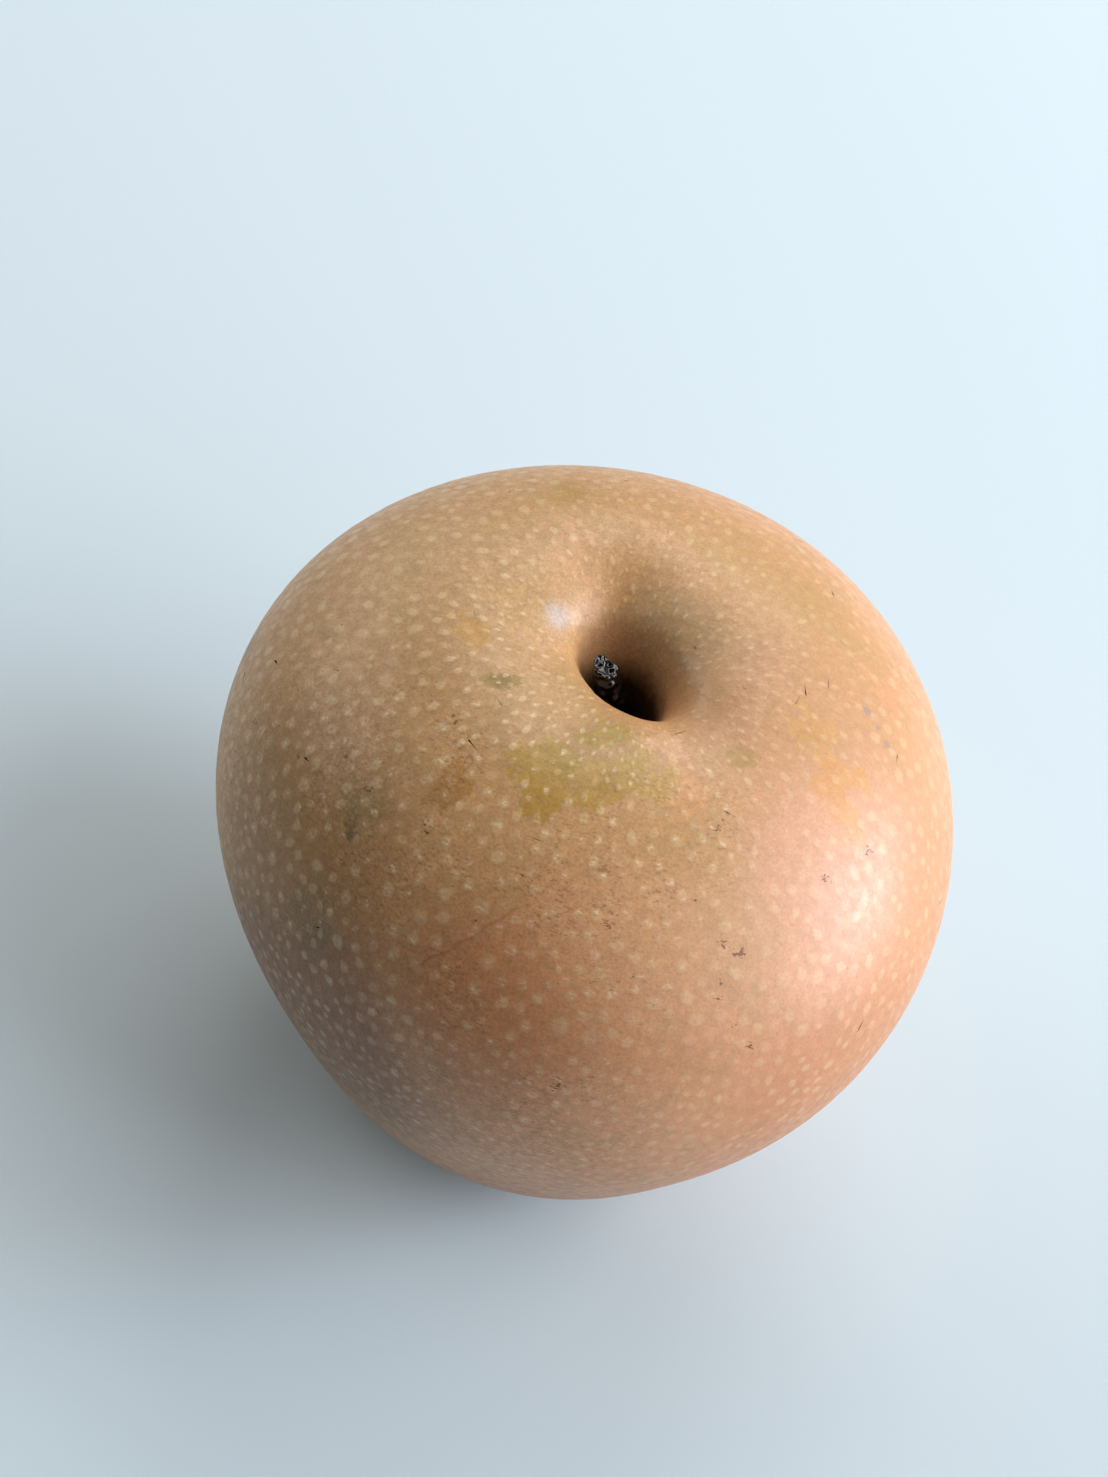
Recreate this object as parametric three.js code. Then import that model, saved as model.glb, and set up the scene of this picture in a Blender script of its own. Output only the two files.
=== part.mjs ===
// Round russet pear, as picked: one fruit with a deep stem hollow and a calyx basin,
// a short dry stem stub in the hollow and the withered calyx in the basin.
// Millimetres, +Z up. The fruit stands on the flat ring round its calyx basin.
import * as THREE from 'three';

// Fruit: a mean radius from its middle, and how far waves of the angle down from the stem move it
const meanRadius = 44;
const endFlattening = 2.4;
const calyxTaper = 2.05;
const flankFlattening = 0.85;
const shoulderFullness = 1.1;
const backwardLean = 0.037;

// Fruit: how far it is from round, seen from above
const ovalAmount = 0.019;
const ovalAngle = THREE.MathUtils.degToRad(116);
const threeLobeAmount = 0.013;
const threeLobeAngle = THREE.MathUtils.degToRad(58);

// Stem hollow: a wide round funnel off the fruit's axis, with an oval throat off the funnel's middle
const hollowX = -1.5;
const hollowY = 1.2;
const funnelDepth = 6;
const funnelRadius = 14;
const throatX = -0.4;
const throatY = 2.4;
const throatDepth = 11.5;
const throatLong = 6.2;
const throatShort = 3.8;
const throatTurn = THREE.MathUtils.degToRad(-34);
const throatSteepness = 5;

// Crown: five soft lobes round the hollow, with one deeper furrow towards the back
const lobeCount = 5;
const lobeHeight = 0.2;
const lobeRadius = 13;
const lobeWidth = 8;
const furrowAngle = THREE.MathUtils.degToRad(108);
const furrowSpread = 0.4;
const furrowDepth = 1;
const furrowRadius = 10;
const furrowWidth = 6;

// Calyx basin and the flat ring that the fruit rests on
const basinDepth = 7;
const basinRadius = 9;
const restTrim = 0.45;

// Fruit mesh: rings lie closer together towards both ends
const fruitSegments = 84;
const fruitRings = 56;
const endCrowding = 0.28;

// Stem stub: leans to the left out of the throat and ends in a torn tip
const stemLength = 9.6;
const stemFootRadius = 1.5;
const stemWaistRadius = 1.8;
const stemTipRadius = 1.6;
const stemFootX = -0.6;
const stemFootY = 2.3;
const stemLean = new THREE.Vector2(-2.9, 0.3);
const stemRidges = 5;
const stemRidgeAmount = 0.07;
const stemSegments = 20;
const tornHeight = 0.5;
const tornSpread = 0.12;

// Calyx: a corky dish with five blunt withered sepals
const calyxRadius = 4.2;
const calyxThickness = 1.1;
const calyxDish = 0.6;
const sepalCount = 5;
const sepalAmount = 0.16;
const calyxSegments = 40;

// Clear space between the fruit and a piece that grows from it
const gap = 0.3;

const bell = (distance, width) => Math.exp(-((distance / width) ** 2));

// Smallest turn between two directions, so that a furrow reads the same all round
function turnBetween(a, b) {
  return Math.abs(Math.atan2(Math.sin(a - b), Math.cos(a - b)));
}

// Distance from the throat's middle, where 1 is half way down its oval wall
function throatReachAt(x, y) {
  const along = (x - throatX) * Math.cos(throatTurn) + (y - throatY) * Math.sin(throatTurn);
  const across = (y - throatY) * Math.cos(throatTurn) - (x - throatX) * Math.sin(throatTurn);
  return Math.hypot(along / throatLong, across / throatShort);
}

// How deep the hollow lies under the crown at a place seen from above
function hollowDepthAt(x, y) {
  const reach = Math.hypot(x - hollowX, y - hollowY);
  const turn = Math.atan2(y - hollowY, x - hollowX);
  const funnel = funnelDepth * bell(reach, funnelRadius);
  const throat = throatDepth / (1 + throatReachAt(x, y) ** throatSteepness);
  const lobes = lobeHeight * Math.cos(lobeCount * (turn - furrowAngle)) * bell(reach - lobeRadius, lobeWidth);
  const furrow = furrowDepth * bell(turnBetween(turn, furrowAngle), furrowSpread)
    * bell(reach - furrowRadius, furrowWidth);
  return funnel + throat + (lobes + furrow) * Math.min(1, reach / furrowRadius);
}

// Skin of the fruit for an angle down from the stem and a direction round it
function skinPoint(angle, turn, target) {
  const radius = meanRadius
    - endFlattening * Math.cos(2 * angle)
    - calyxTaper * Math.cos(3 * angle)
    - flankFlattening * Math.cos(4 * angle)
    + shoulderFullness * Math.cos(5 * angle);
  const outOfRound = 1 + ovalAmount * Math.cos(2 * (turn - ovalAngle))
    + threeLobeAmount * Math.cos(3 * (turn - threeLobeAngle));
  const height = radius * Math.cos(angle);
  const reach = radius * outOfRound * Math.sin(angle);
  const x = reach * Math.cos(turn);
  const y = reach * Math.sin(turn) + backwardLean * height;
  const upper = Math.cos(angle) > 0;
  const z = upper
    ? height - hollowDepthAt(x, y)
    : height + basinDepth * bell(reach, basinRadius);
  return target.set(x, y, z);
}

// Turns a lathe's Y axis up to Z
function standUp(geometry) {
  return geometry.rotateX(Math.PI / 2);
}

// Every place where a ring of the fruit's mesh meets one of its segments
function skinPoints() {
  const points = [];
  for (let ring = 0; ring <= fruitRings; ring++) {
    for (let segment = 0; segment < fruitSegments; segment++) {
      const turn = (segment / fruitSegments) * 2 * Math.PI;
      points.push(skinPoint(ringAngle(ring), turn, new THREE.Vector3()));
    }
  }
  return points;
}

// Lowest point of the untrimmed skin, where the basin's rim is
function lowestSkin(points) {
  return Math.min(...points.map((point) => point.z));
}

// Highest point of the throat's floor under the foot of the stem
function floorUnderStem(points) {
  const under = points.filter((point) => {
    const fromFoot = Math.hypot(point.x - stemFootX, point.y - stemFootY);
    return point.z > 0 && fromFoot < stemWaistRadius;
  });
  return Math.max(...under.map((point) => point.z));
}

function ringAngle(ring) {
  const even = Math.PI * (1 - ring / fruitRings);
  return even - endCrowding * Math.sin(2 * even);
}

// A round lathe gives the rings, and each of its points then moves out to the skin
function makeFruit(restHeight) {
  const profile = [];
  for (let ring = 0; ring <= fruitRings; ring++) {
    const angle = ringAngle(ring);
    const onAxis = ring === 0 || ring === fruitRings;
    profile.push(new THREE.Vector2(onAxis ? 0 : Math.sin(angle), -Math.cos(Math.PI * (ring / fruitRings))));
  }
  const geometry = standUp(new THREE.LatheGeometry(profile, fruitSegments));
  const position = geometry.attributes.position;
  const point = new THREE.Vector3();
  for (let i = 0; i < position.count; i++) {
    const ring = i % (fruitRings + 1);
    const segment = Math.floor(i / (fruitRings + 1)) % fruitSegments;
    const turn = (segment / fruitSegments) * 2 * Math.PI - Math.PI / 2;
    skinPoint(ringAngle(ring), turn, point);
    position.setXYZ(i, point.x, point.y, Math.max(point.z, restHeight));
  }
  return geometry;
}

// The stub grows from the throat's floor, ridged along its length, with a torn end
function makeStem(floorHeight) {
  const profile = [
    new THREE.Vector2(0, 0),
    new THREE.Vector2(stemFootRadius * 0.6, 0.05),
    new THREE.Vector2(stemFootRadius, 0.5),
    new THREE.Vector2(stemWaistRadius, stemLength * 0.3),
    new THREE.Vector2(stemWaistRadius, stemLength * 0.5),
    new THREE.Vector2(stemWaistRadius * 1.03, stemLength * 0.7),
    new THREE.Vector2(stemTipRadius, stemLength * 0.88),
    new THREE.Vector2(stemTipRadius * 0.95, stemLength * 0.96),
    new THREE.Vector2(stemTipRadius * 0.7, stemLength),
    new THREE.Vector2(stemTipRadius * 0.3, stemLength * 0.97),
    new THREE.Vector2(0, stemLength * 0.95),
  ];
  const geometry = standUp(new THREE.LatheGeometry(profile, stemSegments));
  const position = geometry.attributes.position;
  for (let i = 0; i < position.count; i++) {
    const x = position.getX(i);
    const y = position.getY(i);
    const z = position.getZ(i);
    const turn = Math.atan2(y, x);
    const along = z / stemLength;
    const ridge = 1 + stemRidgeAmount * Math.cos(stemRidges * turn + 1.5 * along);
    const torn = tornHeight * bell(along - 1, tornSpread) * Math.cos(2 * turn) * Math.hypot(x, y) / stemTipRadius;
    const bend = along ** 1.3;
    position.setXYZ(i, x * ridge + stemLean.x * bend, y * ridge + stemLean.y * bend, z + torn);
  }
  geometry.translate(stemFootX, stemFootY, floorHeight + gap);
  return geometry;
}

// The calyx hangs in the basin's roof, dished below and following the roof above
function makeCalyx(roof) {
  const profile = [
    new THREE.Vector2(0, -calyxThickness + calyxDish),
    new THREE.Vector2(calyxRadius * 0.35, -calyxThickness + calyxDish * 0.8),
    new THREE.Vector2(calyxRadius * 0.7, -calyxThickness),
    new THREE.Vector2(calyxRadius * 0.95, -calyxThickness * 1.15),
    new THREE.Vector2(calyxRadius, -calyxThickness),
    new THREE.Vector2(calyxRadius * 0.8, -calyxThickness * 0.6),
    new THREE.Vector2(calyxRadius * 0.5, -calyxThickness * 0.25),
    new THREE.Vector2(calyxRadius * 0.25, 0),
    new THREE.Vector2(0, 0),
  ];
  const geometry = standUp(new THREE.LatheGeometry(profile, calyxSegments));
  const position = geometry.attributes.position;
  for (let i = 0; i < position.count; i++) {
    const x = position.getX(i);
    const y = position.getY(i);
    const reach = Math.hypot(x, y) / calyxRadius;
    const sepal = 1 + sepalAmount * reach * Math.cos(sepalCount * Math.atan2(y, x));
    const roofDrop = basinDepth * (1 - bell(Math.hypot(x, y) * sepal, basinRadius));
    position.setXYZ(i, x * sepal, y * sepal, position.getZ(i) - roofDrop);
  }
  geometry.translate(roof.x, roof.y, roof.z - gap);
  return geometry;
}

const skinMesh = skinPoints();
const restHeight = lowestSkin(skinMesh) + restTrim;
const floorHeight = floorUnderStem(skinMesh);
const roof = skinPoint(Math.PI, 0, new THREE.Vector3());

const skinMaterial = new THREE.MeshStandardMaterial({ color: '#b98152', roughness: 0.5, metalness: 0 });
const stemMaterial = new THREE.MeshStandardMaterial({ color: '#2a1c14', roughness: 0.55, metalness: 0 });
const calyxMaterial = new THREE.MeshStandardMaterial({ color: '#4b382a', roughness: 0.85, metalness: 0 });

const fruit = new THREE.Mesh(makeFruit(restHeight), skinMaterial);
fruit.name = 'fruit';
const stem = new THREE.Mesh(makeStem(floorHeight), stemMaterial);
stem.name = 'stem';
const calyx = new THREE.Mesh(makeCalyx(roof), calyxMaterial);
calyx.name = 'calyx';

// The pear is centred over the origin and stands on the ground plane
fruit.geometry.computeBoundingBox();
const middle = fruit.geometry.boundingBox.getCenter(new THREE.Vector3());
const group = new THREE.Group();
group.add(fruit, stem, calyx);
for (const piece of group.children) {
  piece.position.set(-middle.x, -middle.y, -restHeight);
}

export default group;
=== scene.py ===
# Round russet pear: skin with its lenticels, stem stub and calyx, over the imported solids
import math
import bpy
import numpy as np
from mathutils import Matrix, Vector


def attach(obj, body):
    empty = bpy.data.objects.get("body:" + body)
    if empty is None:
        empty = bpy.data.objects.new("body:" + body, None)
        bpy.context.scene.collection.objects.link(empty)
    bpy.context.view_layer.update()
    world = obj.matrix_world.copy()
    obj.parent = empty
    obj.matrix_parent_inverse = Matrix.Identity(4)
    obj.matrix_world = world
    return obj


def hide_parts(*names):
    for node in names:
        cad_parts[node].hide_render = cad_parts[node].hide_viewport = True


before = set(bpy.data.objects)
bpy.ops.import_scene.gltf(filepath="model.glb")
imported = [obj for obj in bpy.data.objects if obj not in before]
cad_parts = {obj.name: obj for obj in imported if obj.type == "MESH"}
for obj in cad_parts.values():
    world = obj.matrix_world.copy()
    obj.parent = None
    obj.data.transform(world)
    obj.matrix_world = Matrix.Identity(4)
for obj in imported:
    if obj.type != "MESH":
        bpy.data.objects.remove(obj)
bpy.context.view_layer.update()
print("frame loaded")

mm = 0.001
perMetre = 1000     # divided by a pattern's size in millimetres, it gives the pattern's scale


# Small helpers that every piece uses

def deselectAll():
    if bpy.context.object and bpy.context.object.mode != "OBJECT":
        bpy.ops.object.mode_set(mode="OBJECT")
    bpy.ops.object.select_all(action="DESELECT")


def makeActive(piece):
    deselectAll()
    piece.select_set(True)
    bpy.context.view_layer.objects.active = piece


def editAll(piece):
    makeActive(piece)
    bpy.ops.object.mode_set(mode="EDIT")
    bpy.ops.mesh.select_all(action="SELECT")


def leaveEdit():
    bpy.ops.object.mode_set(mode="OBJECT")


def applyPlace(piece):
    makeActive(piece)
    bpy.ops.object.transform_apply(location=True, rotation=True, scale=True)


def smoothAll(piece):
    makeActive(piece)
    bpy.ops.object.shade_smooth()


def addModifier(piece, kind, **settings):
    makeActive(piece)
    modifier = piece.modifiers.new(kind.title(), kind)
    for name, value in settings.items():
        setattr(modifier, name, value)
    bpy.ops.object.modifier_apply(modifier=modifier.name)


def linear(hexColour):
    # sRGB hex to the linear values that the shader reads
    parts = [int(hexColour[i:i + 2], 16) / 255 for i in (1, 3, 5)]
    return tuple(c / 12.92 if c <= 0.04045 else ((c + 0.055) / 1.055) ** 2.4 for c in parts) + (1.0,)


def newMaterial(name):
    material = bpy.data.materials.new(name)
    material.use_nodes = True
    tree = material.node_tree
    tree.nodes.clear()
    return material, tree


def addNode(tree, kind, settings={}, *values, **named):
    # values go to the node's inputs in turn, named ones by name, and a node or an output is linked
    node = tree.nodes.new("ShaderNode" + kind)
    for name, value in settings.items():
        setattr(node, name, value)
    inputs = [socket for socket in node.inputs if socket.enabled]
    byName = [(node.inputs[name.replace("_", " ")], value) for name, value in named.items()]
    for socket, value in list(zip(inputs, values)) + byName:
        if isinstance(value, bpy.types.Node):
            value = next(output for output in value.outputs if output.enabled)
        if isinstance(value, bpy.types.NodeSocket):
            tree.links.new(value, socket)
        elif socket.type == "RGBA" and isinstance(value, (int, float)):
            socket.default_value = (value, value, value, 1)
        else:
            socket.default_value = value
    return node


def giveMaterial(piece, material):
    piece.data.materials.clear()
    piece.data.materials.append(material)


# The fruit's form, in millimetres and degrees: the same waves that the solid is made of
fruitForm = {
    "meanRadius": 44,
    "endFlattening": 2.4,
    "calyxTaper": 2.05,
    "flankFlattening": 0.85,
    "shoulderFullness": 1.1,
    "backwardLean": 0.037,
    "ovalAmount": 0.019,
    "ovalAngle": 116,
    "threeLobeAmount": 0.013,
    "threeLobeAngle": 58,
    "hollowX": -1.5,
    "hollowY": 1.2,
    "funnelDepth": 6,
    "funnelRadius": 14,
    "throatX": -0.4,
    "throatY": 2.4,
    "throatDepth": 11.5,
    "throatLong": 6.2,
    "throatShort": 3.8,
    "throatTurn": -34,
    "throatSteepness": 5,
    "lobeCount": 5,
    "lobeHeight": 0.2,
    "lobeRadius": 13,
    "lobeWidth": 8,
    "furrowAngle": 108,
    "furrowSpread": 0.4,
    "furrowDepth": 1,
    "furrowRadius": 10,
    "furrowWidth": 6,
    "basinDepth": 7,
    "basinRadius": 9,
    "centreX": 0.604,      # moves the fruit's box over the origin
    "centreY": -0.192,
    "restLift": 39.769,    # from the fruit's middle down to the surface it stands on
}


def bell(distance, width):
    return np.exp(-((distance / width) ** 2))


def throatReach(x, y):
    # distance from the throat's middle, 1 where its oval wall is half way down
    f = fruitForm
    turn = math.radians(f["throatTurn"])
    along = (x - f["throatX"]) * math.cos(turn) + (y - f["throatY"]) * math.sin(turn)
    across = (y - f["throatY"]) * math.cos(turn) - (x - f["throatX"]) * math.sin(turn)
    return np.hypot(along / f["throatLong"], across / f["throatShort"])


def hollowDepth(x, y):
    f = fruitForm
    reach = np.hypot(x - f["hollowX"], y - f["hollowY"])
    turn = np.arctan2(y - f["hollowY"], x - f["hollowX"]) - math.radians(f["furrowAngle"])
    turnBetween = np.abs(np.arctan2(np.sin(turn), np.cos(turn)))
    funnel = f["funnelDepth"] * bell(reach, f["funnelRadius"])
    throat = f["throatDepth"] / (1 + throatReach(x, y) ** f["throatSteepness"])
    lobes = f["lobeHeight"] * np.cos(f["lobeCount"] * turn) * bell(reach - f["lobeRadius"], f["lobeWidth"])
    furrow = f["furrowDepth"] * bell(turnBetween, f["furrowSpread"])
    furrow = furrow * bell(reach - f["furrowRadius"], f["furrowWidth"])
    return funnel + throat + (lobes + furrow) * np.minimum(1, reach / f["furrowRadius"])


def skinPoint(down, turn):
    # place on the skin, in millimetres, for an angle down from the stem and a turn, in radians
    f = fruitForm
    radius = (f["meanRadius"] - f["endFlattening"] * np.cos(2 * down) - f["calyxTaper"] * np.cos(3 * down)
              - f["flankFlattening"] * np.cos(4 * down) + f["shoulderFullness"] * np.cos(5 * down))
    outOfRound = (1 + f["ovalAmount"] * np.cos(2 * (turn - math.radians(f["ovalAngle"])))
                  + f["threeLobeAmount"] * np.cos(3 * (turn - math.radians(f["threeLobeAngle"]))))
    height = radius * np.cos(down)
    reach = radius * outOfRound * np.sin(down)
    x = reach * np.cos(turn)
    y = reach * np.sin(turn) + f["backwardLean"] * height
    basin = f["basinDepth"] * bell(reach, f["basinRadius"])
    z = np.where(np.cos(down) > 0, height - hollowDepth(x, y), height + basin)
    z = np.maximum(z, -f["restLift"])
    return np.stack([x + f["centreX"], y + f["centreY"], z + f["restLift"]], axis=-1)


# Camera: looks down into the stem hollow, turned so that the fruit's axis leans to the right
cameraSetup = {
    "elevation": 54.1,
    "distance": 294,          # from the fruit's middle
    "roll": 18.3,
    "lens": 56.06,
    "longSide": 36,           # of the sensor, in millimetres
    "nearest": 0.01,          # metres from the camera where the view begins
    "aimRight": -2.8,         # the view's middle lies up and left of the fruit's middle
    "aimUp": 13.4,
}


def makeCamera():
    c = cameraSetup
    f = fruitForm
    middle = Vector((f["centreX"], f["centreY"], f["restLift"])) * mm
    e, roll = math.radians(c["elevation"]), math.radians(c["roll"])
    back = Vector((0, -math.cos(e), math.sin(e)))
    right = Vector((math.cos(roll), math.sin(roll) * math.sin(e), math.sin(roll) * math.cos(e)))
    up = back.cross(right)
    data = bpy.data.cameras.new("camera")
    data.lens = c["lens"]
    data.sensor_width = c["longSide"]
    data.clip_start = c["nearest"]
    camera = bpy.data.objects.new("camera", data)
    bpy.context.scene.collection.objects.link(camera)
    place = middle + back * c["distance"] * mm
    aim = middle + (right * c["aimRight"] + up * c["aimUp"]) * mm
    z = (place - aim).normalized()
    x = up.cross(z).normalized()
    y = z.cross(x)
    turned = Matrix((x, y, z)).transposed().to_4x4()
    camera.matrix_world = Matrix.Translation(place) @ turned
    bpy.context.scene.camera = camera


# Studio: a pale floor, a broad cool light low on the right, and soft warmer ones above, behind and left
studio = {
    "floorColour": "#bdcdd6",
    "floorSize": 3.0,
    "aimHeight": 0.04,        # the lights face this height over the floor
    "airColour": "#dbe6f0",
    "airStrength": 0.02,      # the little light that comes from everywhere
    "backdropStrength": 0.75, # how bright the same air looks behind the floor
    # name, place and size in metres, power in watts, colour
    "lights": [
        ("keyPanel", (1.31, 0.45, 0.57), 0.5, 13.0, "#e8f0ff"),
        ("rightPanel", (1.5, 0.0, 0.3), 0.8, 15.7, "#f7f8ff"),
        ("frontPanel", (1.0, -0.6, 0.8), 0.8, 3.7, "#fffaf5"),
        ("highPanel", (0.9, 0.0, 1.0), 0.8, 7.2, "#fffaf5"),
        ("rearRight", (0.8, 0.8, 0.9), 0.8, 6.2, "#fffaf5"),
        ("rearPanel", (0.0, 1.0, 1.0), 0.8, 8.5, "#fffaf5"),
        ("rearLeft", (-0.8, 0.9, 0.6), 0.8, 4.2, "#fffaf5"),
        ("leftPanel", (-1.2, 0.3, 0.75), 0.8, 5.4, "#fff6ee"),
    ],
}


def makeLight(name, place, size, power, colour):
    data = bpy.data.lights.new(name, "AREA")
    data.shape = "SQUARE"
    data.size = size
    data.energy = power
    data.color = linear(colour)[:3]
    light = bpy.data.objects.new(name, data)
    bpy.context.scene.collection.objects.link(light)
    light.location = place
    aim = Vector((0, 0, studio["aimHeight"])) - Vector(place)
    light.rotation_euler = aim.to_track_quat("-Z", "Y").to_euler()


def makeStudio():
    s = studio
    scene = bpy.context.scene
    scene.view_settings.view_transform = "Standard"
    scene.view_settings.look = "None"
    deselectAll()
    bpy.ops.mesh.primitive_plane_add(size=s["floorSize"], location=(0, 0, 0))
    floor = bpy.context.object
    floor.name = "floor"
    material, tree = newMaterial("mattePaperSweep")
    surface = addNode(tree, "BsdfPrincipled", {}, Base_Color=linear(s["floorColour"]), Roughness=0.9,
                      Specular_IOR_Level=0.1)
    addNode(tree, "OutputMaterial", {}, surface)
    giveMaterial(floor, material)
    world = bpy.data.worlds.new("studioAir")
    world.use_nodes = True
    world.node_tree.nodes.clear()
    seen = addNode(world.node_tree, "LightPath").outputs["Is Camera Ray"]
    air = addNode(world.node_tree, "Background", {}, linear(s["airColour"]), s["airStrength"])
    backdrop = addNode(world.node_tree, "Background", {}, linear(s["airColour"]), s["backdropStrength"])
    mixed = addNode(world.node_tree, "MixShader", {}, seen, air, backdrop)
    addNode(world.node_tree, "OutputWorld", {}, mixed)
    scene.world = world
    for light in s["lights"]:
        makeLight(*light)


# Skin: one closed surface with a raised lenticel at each of its sites
skin = {
    "seed": 11,
    "sites": 6600,
    "choices": 12,            # places tried for each site, the emptiest wins
    "endCrowding": 0.12,      # draws the ball's rings towards both ends
    "bevel": 0.004,           # on the ball of radius 1, before the dots get their real size
    "inset": 0.0012,
    "dotWithin": 0.8,         # a face this close to its site, in bevels, is the site's dot
    # degrees down from the stem, then millimetres between sites
    "gap": [(0, 2.0), (24, 2.0), (36, 3.0), (55, 3.1), (80, 2.2), (150, 2.2), (180, 2.4)],
    "throatGap": [(0, 1.6), (0.5, 1.0), (1.6, 1.0), (2.6, 2.0), (6, 9)],     # by throatReach
    "thinning": 0.4,          # share of the throat's sites that show a dot
    "thinWithin": 2.2,        # by throatReach
    # degrees down, then a dot's radius in millimetres, how far it is drawn out, and how strongly it shows
    "dot": [(0, 1.2), (14, 1.45), (24, 1.5), (36, 1.75), (55, 1.7), (80, 1.15), (180, 1.0)],
    "dotSpread": (0.6, 0.62),         # least share of that radius, and how much chance adds
    "room": (0.85, 0.5),              # share that it may fill of the gap to any site and to the next dot
    "wobble": (0.14, 0.08),           # how far a dot is from round
    "stretch": [(0, 1.6), (20, 1.5), (34, 1.2), (50, 1.0)],
    "strength": [(0, 0.27), (26, 0.25), (38, 0.2), (60, 0.25), (80, 0.24), (180, 0.22)],
    "strengthSpread": (0.25, 0.9),
    "sunnyFade": 0.35,        # share of the strength and height that the dots lose on the right
    "sunnyFrom": 20,          # millimetres to the right where that share is reached
    "throatStrength": [(0, 0), (0.9, 0.1), (1.3, 0.8), (1.7, 1.0)],
    "bareDot": 0.07,          # radius of a site without a dot
    "coreShare": 0.38,        # share of the dot's radius that is at full height and colour
    "relief": 0.02,
    "reliefSpread": (0.4, 0.8),
    "restBand": 0.1,          # no relief below this height, where the fruit stands
}


def along(value, stops):
    return np.interp(value, [s[0] for s in stops], [s[1] for s in stops])


def unit(vectors):
    return vectors / np.linalg.norm(vectors, axis=-1, keepdims=True)


def downAndTurn(ball):
    polar = np.arccos(np.clip(ball[:, 2], -1, 1))
    return polar - skin["endCrowding"] * np.sin(2 * polar), np.arctan2(ball[:, 1], ball[:, 0])


def ballToSkin(ball):
    return skinPoint(*downAndTurn(ball))


def southAndEast(ball):
    flat = unit(ball[:, :2])
    fromAxis = np.hypot(ball[:, 0], ball[:, 1])
    south = np.stack([ball[:, 2] * flat[:, 0], ball[:, 2] * flat[:, 1], -fromAxis], -1)
    east = np.stack([-flat[:, 1], flat[:, 0], np.zeros(len(ball))], -1)
    return south, east


def skinSlopes(ball):
    # how the skin moves, in millimetres, for a step south and east on the ball
    step = 2e-4
    south, east = southAndEast(ball)
    southward = (ballToSkin(unit(ball + south * step)) - ballToSkin(unit(ball - south * step))) / (2 * step)
    eastward = (ballToSkin(unit(ball + east * step)) - ballToSkin(unit(ball - east * step))) / (2 * step)
    return southward, eastward


def throatReachOf(ball):
    places = ballToSkin(ball)
    reach = throatReach(places[:, 0] - fruitForm["centreX"], places[:, 1] - fruitForm["centreY"])
    return np.where(ball[:, 2] > 0, reach, 100)


def wantedGap(ball):
    byDown = along(np.degrees(downAndTurn(ball)[0]), skin["gap"])
    return np.minimum(byDown, along(throatReachOf(ball), skin["throatGap"]))


def scatterSites():
    # each new site is the candidate that lies furthest from the ones before it, for its wanted gap
    rng = np.random.default_rng(skin["seed"])
    count = skin["sites"]
    ball = np.empty((count, 3))
    real = np.empty((count, 3))
    for i in range(count):
        tries = unit(rng.normal(size=(skin["choices"], 3)))
        places = ballToSkin(tries)
        best = 0
        if i > 0:
            near = np.sqrt(((places[:, None, :] - real[None, :i, :]) ** 2).sum(-1)).min(1)
            best = (near / wantedGap(tries)).argmax()
        ball[i] = tries[best]
        real[i] = places[best]
    return ball


def nearestSite(points, ball):
    nearest = np.empty(len(points), int)
    for start in range(0, len(points), 2000):
        nearest[start:start + 2000] = (points[start:start + 2000] @ ball.T).argmax(1)
    return nearest


def gapToNext(places, others):
    # distance from each place to the nearest other one
    gaps = np.empty(len(places))
    for i in range(len(places)):
        away = ((others - places[i]) ** 2).sum(1)
        gaps[i] = math.sqrt(away[away > 1e-9].min())
    return gaps


def readPoints(mesh):
    points = np.empty(len(mesh.vertices) * 3)
    mesh.vertices.foreach_get("co", points)
    return points.reshape(-1, 3)


def writePoints(mesh, points):
    mesh.vertices.foreach_set("co", points.ravel())
    mesh.update()


def faceCentres(mesh):
    centres = np.empty(len(mesh.polygons) * 3)
    mesh.polygons.foreach_get("center", centres)
    return centres.reshape(-1, 3)


def selectFaces(piece, wanted):
    # leaves the piece in edit mode with only the wanted faces selected
    makeActive(piece)
    bpy.context.tool_settings.mesh_select_mode = (False, False, True)
    mesh = piece.data
    mesh.polygons.foreach_set("select", np.asarray(wanted, bool))
    mesh.edges.foreach_set("select", np.zeros(len(mesh.edges), bool))
    mesh.vertices.foreach_set("select", np.zeros(len(mesh.vertices), bool))
    mesh.update()
    bpy.ops.object.mode_set(mode="EDIT")


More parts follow.
